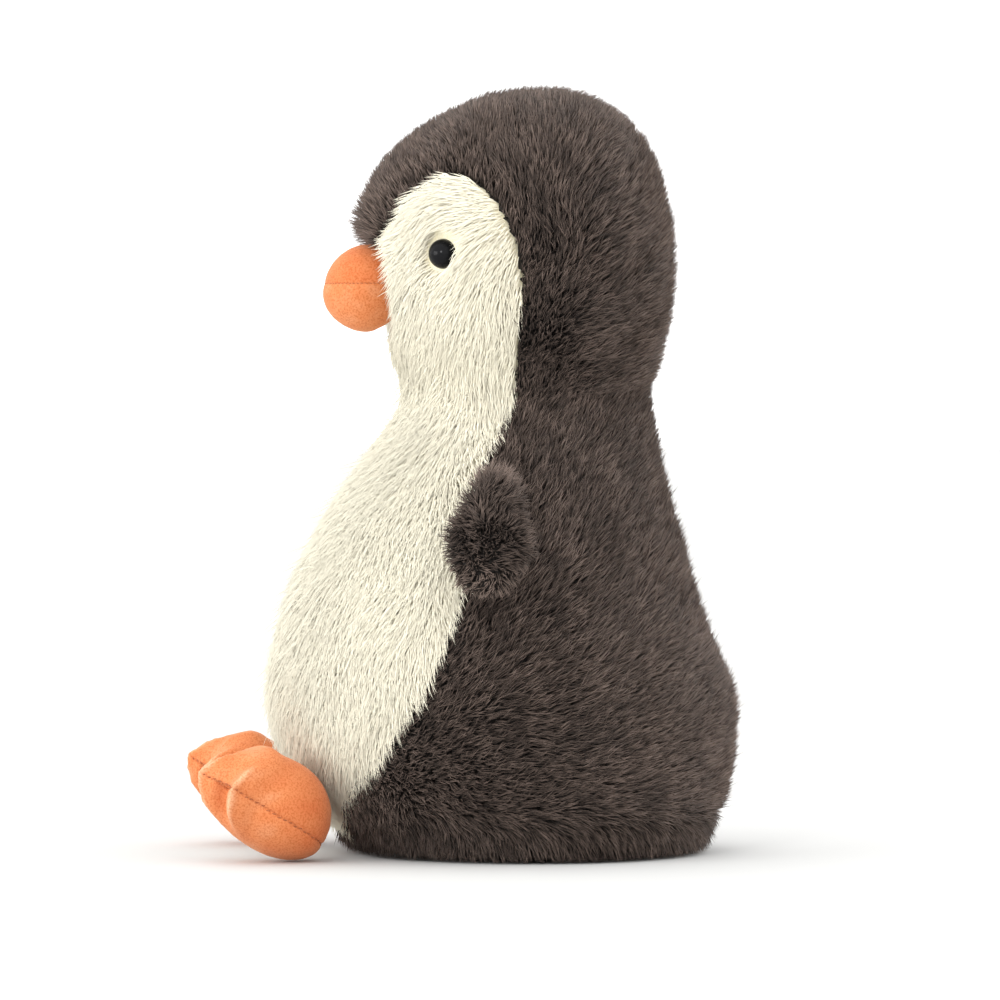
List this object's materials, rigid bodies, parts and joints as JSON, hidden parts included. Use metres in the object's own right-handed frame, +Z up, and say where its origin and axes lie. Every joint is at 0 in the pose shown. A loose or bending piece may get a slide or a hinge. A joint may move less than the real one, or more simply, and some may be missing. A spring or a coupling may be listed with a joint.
{
  "type": "plush penguin",
  "caption": "Sitting plush penguin with a charcoal and cream fur skin, a stuffed suede beak and feet, glossy eyes and soft flippers that flap.",
  "frame": {"origin": "middle of the flat underside of the base panel, on the surface it sits on", "axes": "+Z up to the crown, -Y the way the penguin faces, +X to its left"},
  "size_m": [0.1674, 0.1645, 0.23],
  "materials": {
    "cream_fur": "matte",
    "charcoal_fur": "matte",
    "orange_suede": "matte",
    "stuffing": "matte",
    "pouch_cotton": "matte",
    "pellets": "satin",
    "eye_plastic": "gloss",
    "washer_plastic": "satin"
  },
  "bodies": {
    "torso": {"belly_panel": "cream_fur", "back_panel_left": "charcoal_fur", "back_panel_right": "charcoal_fur", "base_panel": "charcoal_fur", "body_fill": "stuffing", "bean_pouch": "pouch_cotton", "bean_pellets": "pellets"},
    "neck": {"neck_fill": "stuffing"},
    "head": {"face_panel_left": "cream_fur", "face_panel_right": "cream_fur", "crown_gusset": "charcoal_fur", "hood_panel_left": "charcoal_fur", "hood_panel_right": "charcoal_fur", "head_fill": "stuffing", "beak_upper": "orange_suede", "beak_lower": "orange_suede", "beak_fill": "stuffing", "eye_left": "eye_plastic", "eye_right": "eye_plastic", "eye_washer_left": "washer_plastic", "eye_washer_right": "washer_plastic"},
    "flipper_left": {"flipper_left_outer": "charcoal_fur", "flipper_left_inner": "charcoal_fur", "flipper_left_fill": "stuffing"},
    "flipper_right": {"flipper_right_outer": "charcoal_fur", "flipper_right_inner": "charcoal_fur", "flipper_right_fill": "stuffing"},
    "foot_left": {"foot_left_upper": "orange_suede", "foot_left_sole": "orange_suede", "foot_left_fill": "stuffing"},
    "foot_right": {"foot_right_upper": "orange_suede", "foot_right_sole": "orange_suede", "foot_right_fill": "stuffing"}
  },
  "joints": [
    {"name": "head_turn", "type": "hinge", "parent": "torso", "child": "neck", "pos_m": [0, -0.001, 0.12], "axis": [0, 0, 1], "range_deg": [-30, 30], "stiffness_Nm_per_rad": 0.4},
    {"name": "head_nod", "type": "hinge", "parent": "neck", "child": "head", "pos_m": [0, -0.001, 0.12], "axis": [1, 0, 0], "range_deg": [-10, 10], "stiffness_Nm_per_rad": 0.8},
    {"name": "flipper_left_lift", "type": "hinge", "parent": "torso", "child": "flipper_left", "pos_m": [0.052, -0.013, 0.1175], "axis": [0, -1, 0], "range_deg": [-5, 55], "stiffness_Nm_per_rad": 0.02},
    {"name": "flipper_right_lift", "type": "hinge", "parent": "torso", "child": "flipper_right", "pos_m": [-0.052, -0.013, 0.1175], "axis": [0, 1, 0], "range_deg": [-5, 55], "stiffness_Nm_per_rad": 0.02},
    {"name": "foot_left_tip", "type": "hinge", "parent": "torso", "child": "foot_left", "pos_m": [0.037, -0.059, 0.012], "axis": [1, 0, 0], "range_deg": [-5, 25], "stiffness_Nm_per_rad": 0.06},
    {"name": "foot_right_tip", "type": "hinge", "parent": "torso", "child": "foot_right", "pos_m": [-0.037, -0.059, 0.012], "axis": [1, 0, 0], "range_deg": [-5, 25], "stiffness_Nm_per_rad": 0.06}
  ]
}
